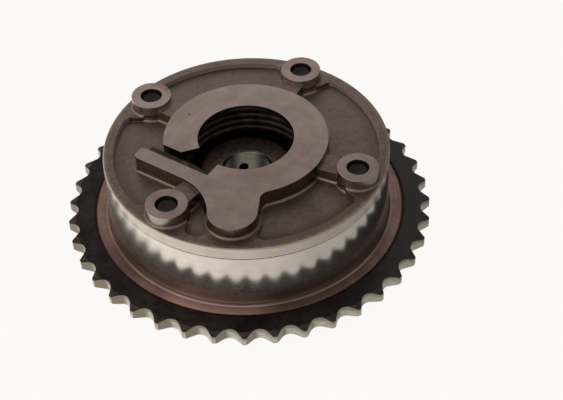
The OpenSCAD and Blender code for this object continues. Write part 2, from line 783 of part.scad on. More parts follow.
module lock_spring_seat() {
    color([0.55, 0.53, 0.5]) translate(polar(lock_circle_r, lock_angle)) difference() {
        translate([0, 0, rotor_z]) cylinder(r = pin_body_r + slide_play - press_gap, h = spring_seat_t);
        cylinder(r = spring_seat_vent_r, h = far);
    }
}

module lock_bush() {
    color([0.62, 0.6, 0.56]) translate(polar(lock_circle_r, lock_angle)) difference() {
        translate([0, 0, seam_z]) cylinder(r = bush_r, h = bush_h);
        cylinder(r = pin_nose_r + 2 * slide_play, h = far);
    }
}

// Seal strip in a vane's tip
module vane_seal(i) {
    color([0.2, 0.2, 0.21]) rotate(vane_seal_angles[i]) intersection() {
        translate([chamber_r - seal_play - seal_h, -seal_w / 2, rotor_z])
            cube([seal_h + 1, seal_w, rotor_top - rotor_z]);
        cylinder(r = chamber_r - seal_play, h = far);
    }
}

// Seal strip in a shoe's tip
module shoe_seal(i) {
    color([0.2, 0.2, 0.21]) rotate(shoe_angles[i]) difference() {
        translate([hub_r - 1, -seal_w / 2, floor_z + face_play])
            cube([seal_play + seal_h + 1, seal_w, chamber_h - 2 * face_play]);
        cylinder(r = hub_r + seal_play, h = far);
    }
}

// Bowed leaf spring that stands on x = 0 and crowns towards +X
module leaf(rise) {
    bow = rise - leaf_t;
    leaf_r = (leaf_l * leaf_l / 4 + bow * bow) / (2 * bow);
    translate([0, seal_w / 2 - slide_play, (rotor_z + rotor_top) / 2]) rotate([90, 0, 0])
        linear_extrude(seal_w - 2 * slide_play) intersection() {
            translate([rise - leaf_r, 0]) difference() {
                circle(leaf_r);
                circle(leaf_r - leaf_t);
            }
            translate([-1, -leaf_l / 2]) square([rise + 2, leaf_l]);
        }
}

module vane_seal_spring(i) {
    slot_floor = vane_r - seal_slot_depth;
    room = chamber_r - seal_play - seal_h - slot_floor;
    color([0.72, 0.72, 0.7]) rotate(vane_seal_angles[i])
        translate([slot_floor + slide_play, 0, 0]) leaf(room - 2 * slide_play);
}

module shoe_seal_spring(i) {
    slot_floor = shoe_r + seal_slot_depth;
    room = slot_floor - hub_r - seal_play - seal_h;
    color([0.72, 0.72, 0.7]) rotate(shoe_angles[i] + 180)
        translate([-slot_floor + slide_play, 0, 0]) leaf(room - 2 * slide_play);
}

sprocket_housing();
rear_plate();
front_cover();
rotor();
bias_spring();
housing_bolts();
lock_pin();
lock_spring();
lock_spring_seat();
lock_bush();
for (i = [0:3]) {
    vane_seal(i);
    vane_seal_spring(i);
    shoe_seal(i);
    shoe_seal_spring(i);
}
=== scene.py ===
"""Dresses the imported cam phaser: metal finishes, wound springs, threaded bolts, studio and camera."""

import logging
import math
from dataclasses import dataclass
from enum import Enum
from functools import partial, reduce

import bpy
from mathutils import Matrix, Vector


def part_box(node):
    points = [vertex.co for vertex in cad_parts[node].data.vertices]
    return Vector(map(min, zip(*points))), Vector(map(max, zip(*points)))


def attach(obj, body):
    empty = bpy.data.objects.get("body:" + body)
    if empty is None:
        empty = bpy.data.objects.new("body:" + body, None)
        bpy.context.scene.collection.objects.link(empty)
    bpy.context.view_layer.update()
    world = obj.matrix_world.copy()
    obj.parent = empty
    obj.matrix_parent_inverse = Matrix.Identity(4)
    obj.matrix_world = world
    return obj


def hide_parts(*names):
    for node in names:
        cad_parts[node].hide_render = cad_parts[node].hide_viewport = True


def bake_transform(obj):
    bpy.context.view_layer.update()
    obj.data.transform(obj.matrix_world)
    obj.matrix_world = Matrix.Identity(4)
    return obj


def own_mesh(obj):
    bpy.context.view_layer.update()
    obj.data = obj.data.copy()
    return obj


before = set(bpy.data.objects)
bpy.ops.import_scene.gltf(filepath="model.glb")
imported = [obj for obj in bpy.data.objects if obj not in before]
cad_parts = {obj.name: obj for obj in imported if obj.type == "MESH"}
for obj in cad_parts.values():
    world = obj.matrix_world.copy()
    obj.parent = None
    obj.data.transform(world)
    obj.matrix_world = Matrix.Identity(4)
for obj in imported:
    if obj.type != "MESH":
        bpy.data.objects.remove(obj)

LOG = logging.getLogger("cam_phaser")
MM = 0.001

# Sizes of the part that more than one class needs, in mm and degrees
REAR_Z = 4.6
SEAM_Z = 24.5
BOLT_CIRCLE_R = 32.56
BOLT_ANGLES = (-131.1, -26.6, 59.0, 142.9)

# Kinds of values, where shades are a dark and a light tone
Material = bpy.types.Material
Node = bpy.types.Node
Piece = bpy.types.Object
Socket = bpy.types.NodeSocket
Value = Socket | float
Colour = tuple[float, float, float]
Shades = tuple[Colour, Colour]
Point = tuple[float, float, float]
Pair = tuple[float, float]
Face = tuple[int, ...]


class Body(Enum):
    """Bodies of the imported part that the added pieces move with."""

    HOUSING = "housing"
    ROTOR = "rotor"


class Slot(Enum):
    """Material slots of the record; the added pieces make their own finishes instead."""

    SPRING = "spring_steel"
    BRIGHT = "spring_bright"
    BOLT = "bolt_black"


def tone(*chips: int) -> Colour:
    """Turns red, green and blue in screen values, 0 to 255, into linear light."""
    shares = (chip / 255 for chip in chips)
    return tuple(s / 12.92 if s <= 0.04045 else ((s + 0.055) / 1.055) ** 2.4 for s in shares)


def on_circle(radius: float, angle: float) -> Pair:
    """Gives the place on a circle at an angle in radians."""
    return radius * math.cos(angle), radius * math.sin(angle)


class NodeGraph:
    """Adds nodes to one node tree and joins them."""

    def __init__(self, tree: bpy.types.NodeTree) -> None:
        """Takes the tree to add to."""
        self._nodes = tree.nodes
        self._links = tree.links

    def put(self, target: Socket, value: Value | Colour) -> None:
        """Links a socket to a target, or sets the target's own value.

        Args:
            target: Input socket.
            value: Socket, number, vector or colour.
        """
        if isinstance(value, Socket):
            self._links.new(value, target)
        elif isinstance(value, tuple):
            target.default_value = (*value, 1.0) if len(target.default_value) == 4 else value
        else:
            target.default_value = value

    def add(self, kind: str, inputs: dict[str | int, Value | Colour], **settings: str | int) -> Node:
        """Adds a node.

        Args:
            kind: Kind of shader node.
            inputs: Values of its inputs, by name or number.
            settings: Its settings, by name.

        Returns:
            The node.
        """
        node = self._nodes.new(f"ShaderNode{kind}")
        for name, setting in settings.items():
            setattr(node, name, setting)
        for name, value in inputs.items():
            self.put(node.inputs[name], value)
        return node

    def split(self, vector: Socket) -> tuple[Socket, Socket, Socket]:
        """Gives the three parts of a vector."""
        return tuple(self.add("SeparateXYZ", {0: vector}).outputs)

    def math(self, operation: str, first: Value, second: Value = 0.0) -> Socket:
        """Adds one sum by the name of its operation."""
        return self.add("Math", {0: first, 1: second}, operation=operation).outputs[0]

    def times(self, *factors: Value) -> Value:
        """Multiplies any number of masks or values."""
        return reduce(partial(self.math, "MULTIPLY"), factors)

    def plus(self, first: Value, second: Value) -> Socket:
        """Adds two values."""
        return self.math("ADD", first, second)

    def minus(self, first: Value, second: Value) -> Socket:
        """Takes the second value from the first."""
        return self.math("SUBTRACT", first, second)

    def either(self, first: Value, second: Value) -> Socket:
        """Gives the greater of two masks."""
        return self.math("MAXIMUM", first, second)

    def besides(self, mask: Value) -> Socket:
        """Gives the part that a mask leaves out."""
        return self.minus(1.0, mask)

    def choose(self, mask: Value, under: Value, over: Value) -> Socket:
        """Goes from one number to another by a mask or a share."""
        return self.add("Mix", {0: mask, 2: under, 3: over}).outputs[0]


class FinishGraph(NodeGraph):
    """Lays out the nodes of one procedural finish, with every place in millimetres."""

    level_span: Pair = (0.7, 0.88)
    noise_roughness: float = 0.6
    pit_floor: float = 0.4
    bevel_samples: int = 4

    def __init__(self, name: str, metallic: float = 1.0) -> None:
        """Starts a material with one shader and the usual measures of place.

        Args:
            name: Name of the material.
            metallic: Metal share of the shader.
        """
        self.material = bpy.data.materials.new(name)
        self.material.use_nodes = True
        self.material.node_tree.nodes.clear()
        super().__init__(self.material.node_tree)
        self.shader = self.add("BsdfPrincipled", {"Metallic": metallic})
        self.add("OutputMaterial", {"Surface": self.shader.outputs["BSDF"]})
        source = self.add("TexCoord", {})
        self.place = self.stretched(source.outputs["Object"], (1 / MM, 1 / MM, 1 / MM))
        self.x, self.y, self.z = self.split(self.place)
        self.radius = self.reach(self.x, self.y)
        lean_x, lean_y, self.up = self.split(source.outputs["Normal"])
        swing = self.minus(self.times(self.x, lean_y), self.times(self.y, lean_x))
        self.turn = self.math("DIVIDE", swing, self.radius)
        self.level = self.step(self.math("ABSOLUTE", self.up), *self.level_span)
        self.facing_up = self.step(self.up, *self.level_span)
        self.colour: Socket | Colour = (0.0, 0.0, 0.0)

    def reach(self, across: Value, along: Value) -> Socket:
        """Gives the length of two steps at right angles."""
        return self.math("SQRT", self.plus(self.times(across, across), self.times(along, along)))

    def varied(self, level: Value, pattern: Value, swing: float) -> Socket:
        """Adds a share of a pattern to a level."""
        return self.plus(level, self.times(pattern, swing))

    def rough(self, pattern: Value, span: Pair) -> Socket:
        """Gives a roughness with its least value and the swing that a pattern adds."""
        return self.varied(span[0], pattern, span[1])

    def step(self, value: Value, low: float, high: float) -> Socket:
        """Rises smoothly from 0 at low to 1 at high, or falls where low is the greater."""
        inputs = {"Value": value, "From Min": low, "From Max": high}
        return self.add("MapRange", inputs, interpolation_type="SMOOTHSTEP").outputs["Result"]

    def within(self, value: Value, low: float, high: float, soft: float) -> Socket:
        """Is 1 between two values and fades out over soft on both sides."""
        return self.times(self.step(value, low - soft, low), self.step(value, high + soft, high))

    def spot(self, centre: Pair, reach: float, soft: float) -> Socket:
        """Is 1 within reach of an upright line through a point and fades out over soft."""
        away = self.reach(self.minus(self.x, centre[0]), self.minus(self.y, centre[1]))
        return self.step(away, reach + soft, reach)

    def stretched(self, vector: Socket, factors: Point) -> Socket:
        """Multiplies a vector part by part."""
        return self.add("VectorMath", {0: vector, 1: factors}, operation="MULTIPLY").outputs[0]

    def turned_place(self, along: float) -> Socket:
        """Gives a place that runs fast across turning marks and slows to a share along them."""
        parts = {0: self.radius, 1: self.times(self.x, along), 2: self.times(self.y, along)}
        return self.add("CombineXYZ", parts).outputs[0]

    def noise(self, per_mm: float, detail: float = 2.0, place: Socket | None = None) -> Socket:
        """Adds noise round 0.5, with its clouds to a millimetre and the finer layers on top."""
        inputs = {"Vector": place or self.place, "Scale": per_mm, "Detail": detail}
        return self.add("TexNoise", inputs | {"Roughness": self.noise_roughness}).outputs["Fac"]

    def streaks(self, across: float, along: float, detail: float = 3.0) -> Socket:
        """Adds noise with one scale across the axis and another along it, both to a millimetre."""
        return self.noise(1.0, detail, self.stretched(self.place, (across, across, along)))

    def pores(self, per_mm: float, share: float) -> Socket:
        """Is 1 in small round pits, whose radius is a share of their cells."""
        cells = self.add("TexVoronoi", {"Vector": self.place, "Scale": per_mm})
        return self.step(cells.outputs["Distance"], share, share * self.pit_floor)

    def paint(self, mask: Value, under: Socket | Colour, over: Socket | Colour) -> Socket:
        """Lays one colour over another where a mask shows it."""
        return self.add("Mix", {0: mask, 6: under, 7: over}, data_type="RGBA").outputs[2]

    def coat(self, mask: Value, over: Socket | Colour) -> None:
        """Lays a colour over what is painted so far."""
        self.colour = self.paint(mask, self.colour, over)

    def rounded(self, radius: float) -> Socket:
        """Softens the edges in the shading by a radius in mm."""
        return self.add("Bevel", {"Radius": radius * MM}, samples=self.bevel_samples).outputs["Normal"]

    def bump(self, height: Socket, depth: float, under: Socket | None = None) -> Socket:
        """Turns a height, 0 to 1, into relief of a depth in mm, which may lie on another relief."""
        base = {"Normal": under} if under else {}
        return self.add("Bump", {"Distance": depth * MM, "Height": height} | base).outputs["Normal"]

    def done(self, roughness: Value, normal: Socket) -> Material:
        """Joins the painted colour, a roughness and a relief to the shader.

        Args:
            roughness: Roughness.
            normal: Relief.

        Returns:
            The material.
        """
        for name, value in (("Base Color", self.colour), ("Roughness", roughness), ("Normal", normal)):
            self.put(self.shader.inputs[name], value)
        return self.material


@dataclass(frozen=True)
class SinteredCover:
    """Pressed powder-metal cover: ground top faces, grainy floor and rim, satin side."""

    ground: Shades = (tone(117, 101, 95), tone(150, 131, 124))
    floor: Shades = (tone(84, 71, 64), tone(108, 93, 86))
    # Painted shade in the floor's corners at the foot of the pocket walls
    corner: Colour = tone(58, 46, 40)
    rim: Shades = (tone(88, 74, 67), tone(114, 98, 90))
    # Painted highlight near the rim's outer edge
    rim_edge_highlight: Colour = tone(132, 118, 102)
    # Painted highlight on the chamfer at the rim's outer edge
    bevel: Colour = tone(148, 134, 121)
    olive: Colour = tone(96, 80, 46)
    wall: Shades = (tone(106, 93, 85), tone(128, 114, 105))
    # Boss walls painted paler than the other walls, as painted light
    boss_wall_light: Colour = tone(156, 144, 135)
    # Pocket walls under the rim painted pale, as painted light
    pocket_wall_light: Colour = tone(172, 151, 141)
    # Painted shade inside the cover's well
    inside: Colour = tone(62, 54, 48)
    # Painted highlight at the foot of the raised walls
    cove_highlight: Colour = tone(108, 91, 80)
    side: Shades = (tone(184, 172, 158), tone(200, 190, 177))
    seam: Colour = tone(52, 45, 41)
    pit: Colour = tone(44, 36, 32)
    rust: Colour = tone(146, 98, 60)
    top_z: float = 31.83
    rim_z: float = 28.34
    floor_z: float = 26.94
    outer_r: float = 39.2
    pocket_r: float = 36.4
    well_r: float = 21.4
    boss_reach: float = 5.69
    bolt_reach: float = 3.7
    foot_h: float = 0.5
    wall_rough: Pair = (0.26, 0.1)
    face_rough: Pair = (0.36, 0.16)
    ground_rough: Pair = (0.3, 0.14)
    side_rough: Pair = (0.18, 0.08)
    pocket_rough: float = 0.7
    rust_rough: float = 0.75
    cast_relief: float = 0.06
    mark_relief: float = 0.012
    edge_r: float = 0.26
    # Span in y over which top faces, rim and floor are painted lighter towards the rear, as painted
    # light
    rear_light_y: Pair = (-30.0, 24.0)
    rust_z: Pair = (28.6, 30.6)
    rust_at: Pair = (-23.0, 23.0)
    olive_at: Pair = (8.2, -36.8)
    nick_at: Pair = (-15.25, 10.45)

    def make(self) -> Material:
        """Lays out the finish.

        Returns:
            The material.
        """
        g = FinishGraph("cover_sintered")
        clouds = g.noise(0.16, 3.0)
        mottle = g.noise(0.9, 4.0)
        grain = g.noise(2.6, 3.0)
        pits = g.pores(1.1, 0.16)
        marks = g.noise(2.2, 2.0, g.turned_place(0.03))
        lines = g.streaks(0.05, 4.0)
        upright = g.besides(g.level)
        # Painted light rising from the front to the rear; it lightens the pressed grain and the ground
        # faces
        rear = g.step(g.y, *self.rear_light_y)
        cast = g.choose(0.4, g.choose(0.5, clouds, mottle), grain)
        pressed = g.varied(cast, rear, 0.12)

        # Zones of the cover
        top = g.times(g.step(g.z, self.top_z - 0.1, self.top_z - 0.04), g.facing_up)
        low = g.times(g.step(g.z, self.rim_z - 0.5, self.rim_z - 0.9), g.facing_up)
        side = g.times(g.step(g.radius, self.outer_r - 0.2, self.outer_r - 0.08), upright)
        rim = g.times(g.within(g.z, self.rim_z - 0.12, self.rim_z + 0.12, 0.08), g.facing_up)
        bolts = [on_circle(BOLT_CIRCLE_R, math.radians(angle)) for angle in BOLT_ANGLES]
        near = reduce(g.either, (g.spot(bolt, self.boss_reach, 0.3) for bolt in bolts))
        pocket = g.times(g.step(g.radius, self.pocket_r - 0.9, self.pocket_r - 0.5), g.besides(near))
        pocket = g.times(pocket, g.step(g.z, self.rim_z + 0.1, self.rim_z - 0.02), upright)

        # Raised walls, then the pressed rim and floor, with painted light and shade on walls, corners
        # and edges
        g.colour = g.paint(g.step(mottle, 0.35, 0.7), *self.wall)
        # Painted light: paler boss walls
        g.coat(near, self.boss_wall_light)
        # Painted shade inside the well
        g.coat(g.step(g.radius, self.well_r, self.well_r - 0.6), self.inside)
        rim_tone = g.paint(g.step(pressed, 0.46, 0.7), *self.rim)
        g.coat(g.facing_up, rim_tone)
        floor_tone = g.paint(g.step(pressed, 0.42, 0.68), *self.floor)
        # Painted shade on the floor near the pocket walls, stronger towards the front
        corner_shading = g.step(g.radius, self.pocket_r - 4.2, self.pocket_r - 1.6)
        corner_shading = g.times(corner_shading, g.step(mottle, 0.1, 0.5), g.varied(0.12, g.besides(rear), 0.42))
        g.coat(low, g.paint(corner_shading, floor_tone, self.corner))
        # Painted highlight near the rim's outer edge
        brink = g.step(g.radius, self.outer_r - 1.3, self.outer_r - 0.4)
        brink = g.times(brink, g.step(mottle, 0.3, 0.6), 0.6)
        rim_tone = g.paint(brink, rim_tone, self.rim_edge_highlight)
        oiled = g.times(g.spot(self.olive_at, 0.6, 3.0), g.step(mottle, 0.3, 0.6), 0.8)
        g.coat(rim, g.paint(oiled, rim_tone, self.olive))
        # Painted highlight on the coves at the foot of the walls
        foot = g.within(g.z, self.rim_z - 0.05, self.rim_z + self.foot_h, 0.3)
        foot = g.either(foot, g.within(g.z, self.floor_z - 0.05, self.floor_z + self.foot_h + 0.05, 0.3))
        g.coat(g.times(foot, upright), self.cove_highlight)
        # Painted light: pale pocket walls under the rim
        g.coat(pocket, self.pocket_wall_light)

        # Ground top faces, painted lighter towards the rear as light
        polish = g.step(g.choose(0.3, clouds, marks), 0.36, 0.66)
        ground = g.paint(g.choose(0.5, polish, rear), *self.ground)
        nicks = g.either(g.times(pits, 0.3), g.times(g.spot(self.nick_at, 0.2, 0.35), 0.7))
        g.coat(top, g.paint(nicks, ground, self.pit))

        # Side with the seam below it and a painted highlight on the bevel above, then the rust by the
        # last boss
        brushed = g.step(g.choose(0.4, lines, clouds), 0.36, 0.64)
        side_tone = g.paint(brushed, *self.side)
        side_tone = g.paint(g.step(g.z, SEAM_Z + 0.26, SEAM_Z + 0.16), side_tone, self.seam)
        g.coat(side, side_tone)
        # Painted highlight on the chamfer
        chamfer_highlight = g.times(g.step(g.radius, self.outer_r - 0.6, self.outer_r - 0.4), g.besides(g.facing_up))
        chamfer_highlight = g.times(chamfer_highlight, g.step(g.z, self.rim_z - 0.38, self.rim_z - 0.3), 0.85)
        g.coat(chamfer_highlight, self.bevel)
        clear = g.besides(g.spot(bolts[-1], self.bolt_reach, 0.9))
        stain = g.times(g.spot(self.rust_at, 1.6, 2.6), clear)
        stain = g.times(stain, g.step(mottle, 0.34, 0.56), g.step(g.z, *self.rust_z))
        g.coat(g.times(stain, 0.75), self.rust)

        # Roughness and relief
        rough = g.choose(g.level, g.rough(grain, self.wall_rough), g.rough(grain, self.face_rough))
        rough = g.choose(pocket, rough, self.pocket_rough)
        rough = g.choose(top, rough, g.rough(marks, self.ground_rough))
        rough = g.choose(side, rough, g.rough(grain, self.side_rough))
        rough = g.choose(stain, rough, self.rust_rough)
        rugged = g.times(g.besides(g.either(top, side)), g.choose(g.level, 0.2, 1.0))
        rugged = g.times(rugged, g.choose(0.4, mottle, grain))
        normal = g.bump(rugged, self.cast_relief, g.rounded(self.edge_r))
        scored = g.times(top, g.minus(g.times(marks, 0.4), pits))
        return g.done(rough, g.bump(scored, self.mark_relief, normal))


@dataclass(frozen=True)
class HardenedHousing:
    """Turned and hardened sprocket housing: polished wall, tinted band, black ring, ground teeth."""

    wall: Shades = (tone(202, 191, 178), tone(216, 207, 196))
    heat: Colour = tone(82, 68, 57)
    # Heat tint in painted shade, used towards the right
    heat_in_shade: Colour = tone(46, 40, 35)
    seam: Colour = tone(52, 45, 41)
    # Painted shade in the crease at the foot of the wall
    foot: Colour = tone(80, 63, 55)
    # Painted highlight round the foot of the wall, and its brightest tone
    foot_highlight: Colour = tone(206, 182, 170)
    foot_highlight_bright: Colour = tone(252, 236, 226)
    band: Shades = (tone(102, 81, 74), tone(128, 104, 97))
    # Painted pool of light on the band and the foot's highlight at the front
    band_light_pool: Colour = tone(176, 143, 135)
    # Darker patch on the band towards the left
    band_dark_patch: Colour = tone(88, 71, 63)
    band_edge: Colour = tone(40, 20, 17)
    grime: Colour = tone(92, 77, 67)
    ring: Shades = (tone(26, 22, 22), tone(46, 39, 37))
    # Painted light on the ring towards the right
    ring_right_light: Colour = tone(62, 57, 58)
    bevel: Colour = tone(62, 50, 46)
    flank: Shades = (tone(164, 155, 138), tone(204, 197, 183))
    # Flanks darker towards the ring's face, and painted shade on the flanks that face one way round
    flank_dark_top_and_shade: Colour = tone(106, 97, 83)
    # Painted highlight at the flanks' rear edge
    flank_edge_highlight: Colour = tone(230, 225, 212)
    bored: Shades = (tone(122, 117, 109), tone(156, 151, 142))
    wall_r: float = 38.9
    foot_r: float = 39.65
    foot_fillet: float = 0.3
    band_r: float = 43.45
    bevel_r: float = 49.13
    ring_top_z: float = 8.2
    line_out: float = 0.3
    line_half: float = 0.12
    polished_rough: float = 0.11
    matt_rough: float = 0.3
    band_rough: Pair = (0.4, 0.14)
    ring_rough: Pair = (0.34, 0.16)
    flank_rough: Pair = (0.22, 0.12)
    wave_relief: float = 0.012
    mark_relief: float = 0.02
    edge_r: float = 0.12
    heat_z: Pair = (15.0, 10.0)
    # Span in x over which the heat tint is painted darker towards the right, as shade
    heat_shade_x: Pair = (10.0, 28.0)
    grime_z: Pair = (11.5, 14.0)
    matt_z: Pair = (19.0, 10.0)
    smear_z: Pair = (13.0, 18.0)
    smear_x: Pair = (-18.0, -32.0)
    # Span in y over which the foot's painted highlight grows towards the front
    foot_highlight_y: Pair = (-18.0, -32.0)
    # Span in x over which the ring is painted lighter towards the right
    ring_light_x: Pair = (14.0, 46.0)
    # Middle of the painted pool of light
    light_pool_at: Pair = (-10.8, -40.3)
    # Middle of the darker patch
    dark_patch_at: Pair = (-36.1, -20.9)

    def make(self) -> Material:
        """Lays out the finish.

        Returns:
            The material.
        """
        g = FinishGraph("housing_steel")
        clouds = g.noise(0.12, 3.0)
        mottle = g.noise(0.8, 3.0)
        grain = g.noise(3.0, 3.0)
        turning = g.streaks(0.02, 6.0)
        facing = g.noise(3.0, 2.0, g.turned_place(0.03))
        ground = g.streaks(0.5, 5.0, 2.0)

        # Zones of the housing
        face_r = self.foot_r + self.foot_fillet
        low = g.step(g.z, self.ring_top_z + 0.4, self.ring_top_z)
        foot = g.times(g.step(g.radius, self.foot_r - 0.3, self.foot_r - 0.1), low)
        face = g.step(g.radius, face_r - 0.1, face_r)
        ring = g.step(g.radius, self.band_r + 0.02, self.band_r + 0.1)
        flank = g.times(ring, g.besides(g.level))

        # Polished wall, heat tint at its foot painted darker towards the right as shade, the bored
        # inside, and painted shade in the crease at the foot of the wall
        polish = g.step(g.choose(0.5, turning, clouds), 0.36, 0.64)
        g.colour = g.paint(polish, *self.wall)
        # Heat tint, painted darker towards the right as shade
        heat = g.paint(g.step(g.x, *self.heat_shade_x), self.heat, self.heat_in_shade)
        g.coat(g.times(g.step(g.z, *self.heat_z), 0.85), heat)
        specks = g.times(g.step(g.noise(0.9, 5.0), 0.5, 0.66), g.within(g.z, *self.grime_z, 3.0))
        g.coat(g.times(specks, 0.4), self.grime)
        g.coat(g.step(g.z, SEAM_Z - 0.24, SEAM_Z - 0.14), self.seam)
        bored = g.paint(g.step(turning, 0.35, 0.65), *self.bored)
        g.coat(g.step(g.radius, self.wall_r - 0.3, self.wall_r - 0.6), bored)
        # Painted shade in the crease at the wall's foot
        g.coat(foot, self.foot)

        # Tinted band with a painted pool of light at the front and a darker patch to the left, and a
        # painted highlight line round the foot of the wall
        tinted = g.step(g.choose(0.6, facing, clouds), 0.38, 0.64)
        band_tone = g.paint(tinted, *self.band)
        band_tone = g.paint(g.times(g.spot(self.dark_patch_at, 3.0, 9.0), 0.8), band_tone, self.band_dark_patch)
        # Painted pool of light at the front, on the band and the highlight line
        bright = g.times(g.spot(self.light_pool_at, 9.0, 9.0), 0.9)
        g.coat(face, g.paint(bright, band_tone, self.band_light_pool))
        # Painted highlight line round the foot of the wall, stronger towards the front
        line_r = face_r + self.line_out
        line = g.times(g.within(g.radius, line_r - self.line_half, line_r + self.line_half, 0.2), low)
        rubbed = g.step(g.y, *self.foot_highlight_y)
        line_tone = g.paint(bright, self.foot_highlight, self.foot_highlight_bright)
        g.coat(g.times(line, g.varied(0.15, rubbed, 0.75)), line_tone)

        # Black ring, painted lighter towards the right as light, its bevel and the edge towards the band
        scaled = g.step(g.choose(0.4, clouds, mottle), 0.36, 0.66)
        ring_tone = g.paint(scaled, *self.ring)
        # Painted light towards the right
        ring_tone = g.paint(g.times(g.step(g.x, *self.ring_light_x), 0.5), ring_tone, self.ring_right_light)
        tint = g.step(g.radius, self.bevel_r - 0.15, self.bevel_r + 0.3)
        tint = g.times(tint, g.step(mottle, 0.25, 0.6))
        g.coat(ring, g.paint(tint, ring_tone, self.bevel))
        brim = g.within(g.radius, self.band_r - 0.1, self.band_r + 0.3, 0.5)
        g.coat(g.times(brim, g.step(mottle, 0.2, 0.45)), self.band_edge)

        # Tooth flanks, darker towards the ring's face, with painted shade on the flanks that face one
        # way round and a painted highlight at the rear edge
        flank_tone = g.paint(g.step(ground, 0.32, 0.68), *self.flank)
        # Darker towards the ring's face, plus painted shade on flanks turned one way
        dark_top_and_shade = g.step(g.varied(g.z, mottle, 1.6), self.ring_top_z - 1.3, self.ring_top_z + 0.7)
        dark_top_and_shade = g.either(g.times(dark_top_and_shade, 0.8), g.times(g.step(g.turn, -0.1, 0.55), 0.85))
        flank_tone = g.paint(dark_top_and_shade, flank_tone, self.flank_dark_top_and_shade)
        # Painted highlight along the rear edge of the flanks
        edge = g.times(g.step(g.z, REAR_Z + 0.35, REAR_Z + 0.1), g.step(mottle, 0.3, 0.55), 0.8)
        g.coat(flank, g.paint(edge, flank_tone, self.flank_edge_highlight))

        # Roughness and relief
        smeared = g.times(g.step(g.x, *self.smear_x), g.step(g.z, *self.smear_z))
        rough = g.choose(g.step(g.z, *self.matt_z), self.polished_rough, self.matt_rough)
        rough = g.varied(g.varied(rough, turning, 0.06), smeared, 0.1)
        rough = g.choose(face, rough, g.rough(facing, self.band_rough))
        rough = g.choose(ring, rough, g.rough(grain, self.ring_rough))
        rough = g.choose(flank, rough, g.rough(ground, self.flank_rough))
        height = g.choose(ring, g.times(turning, 0.18), g.choose(0.4, grain, mottle))
        height = g.choose(flank, height, g.times(ground, 0.5))
        waves = g.times(g.noise(0.24, 2.0), g.besides(face))
        normal = g.bump(waves, self.wave_relief, g.rounded(self.edge_r))
        return g.done(rough, g.bump(height, self.mark_relief, normal))


@dataclass(frozen=True)
class SinteredRotor:
    """Sintered rotor: dark bolt seat, pale turned bore, ground faces and vane tips."""

    ground: Shades = (tone(112, 104, 95), tone(138, 130, 120))
    seat: Shades = (tone(108, 88, 78), tone(142, 117, 105))
    bore: Shades = (tone(102, 98, 84), tone(116, 112, 97))
    # Painted shade on the bore's left and right, standing in for its reflection
    oiled: Colour = tone(24, 22, 18)
    groove: Colour = tone(62, 54, 47)
    bore_r: float = 6.7
    well_r: float = 18.4
    seat_z: float = 20.3
    face_rough: Pair = (0.32, 0.16)
    bore_rough: Pair = (0.18, 0.12)
    relief: float = 0.02
    edge_r: float = 0.15
    well_z: Pair = (15.5, 17.0)
    bore_z: Pair = (12.0, 12.6)
    # Span in x over which the bore darkens sideways, as painted shade
    bore_shade_x: Pair = (1.2, 4.6)

    def make(self) -> Material:
        """Lays out the finish.

        Returns:
            The material.
        """
        g = FinishGraph("rotor_sintered")
        clouds = g.noise(0.2, 3.0)
        mottle = g.noise(1.0, 4.0)
        facing = g.noise(2.4, 2.0, g.turned_place(0.04))
        turning = g.streaks(0.03, 5.0)
        turned = g.step(g.choose(0.5, facing, clouds), 0.36, 0.64)
        ground = g.paint(turned, *self.ground)
        seat = g.paint(g.step(mottle, 0.3, 0.7), *self.seat)
        inside = g.times(g.step(g.radius, self.well_r + 0.3, self.well_r), g.step(g.z, *self.well_z))
        g.colour = g.paint(inside, ground, seat)
        sunk = g.times(inside, g.step(g.z, self.seat_z - 0.6, self.seat_z - 1.2), g.facing_up)
        brink = g.times(g.step(g.radius, self.bore_r + 1.3, self.bore_r + 1.0), g.besides(g.level))
        g.coat(g.either(sunk, g.times(brink, inside)), self.groove)
        bore = g.step(g.radius, self.bore_r + 0.3, self.bore_r + 0.05)
        bore = g.times(bore, g.step(g.z, *self.bore_z))
        bore_tone = g.paint(g.step(turning, 0.34, 0.66), *self.bore)
        # Painted shade and reflection: the bore darkens towards its left and right
        bore_tone = g.paint(g.step(g.math("ABSOLUTE", g.x), *self.bore_shade_x), bore_tone, self.oiled)
        g.coat(bore, bore_tone)
        pits = g.pores(1.3, 0.15)
        g.coat(g.times(pits, g.besides(bore), 0.5), self.seat[0])
        rough = g.choose(bore, g.rough(mottle, self.face_rough), g.rough(turning, self.bore_rough))
        height = g.minus(g.choose(bore, g.choose(0.5, mottle, facing), turning), g.times(pits, 0.5))
        return g.done(rough, g.bump(height, self.relief, g.rounded(self.edge_r)))


@dataclass(frozen=True)
class GroundPlate:
    """Stamped and ground plate with turning marks and a light heat tint."""

    face: Shades = (tone(122, 112, 101), tone(148, 139, 128))
    tint: Colour = tone(128, 100, 76)
    edge: Colour = tone(176, 168, 156)
    roughness: Pair = (0.24, 0.08)
    relief: float = 0.012
    edge_r: float = 0.12

    def make(self) -> Material:
        """Lays out the finish.

        Returns:
            The material.
        """
        g = FinishGraph("plate_steel")
        clouds = g.noise(0.1, 3.0)
        marks = g.noise(3.2, 3.0, g.turned_place(0.02))
        grain = g.noise(2.8, 3.0)
        g.colour = g.paint(g.step(marks, 0.34, 0.66), *self.face)
        g.coat(g.times(g.step(clouds, 0.5, 0.7), 0.5), self.tint)
        g.coat(g.besides(g.level), self.edge)
        normal = g.bump(g.choose(0.3, marks, grain), self.relief, g.rounded(self.edge_r))
        return g.done(g.rough(g.plus(marks, grain), self.roughness), normal)


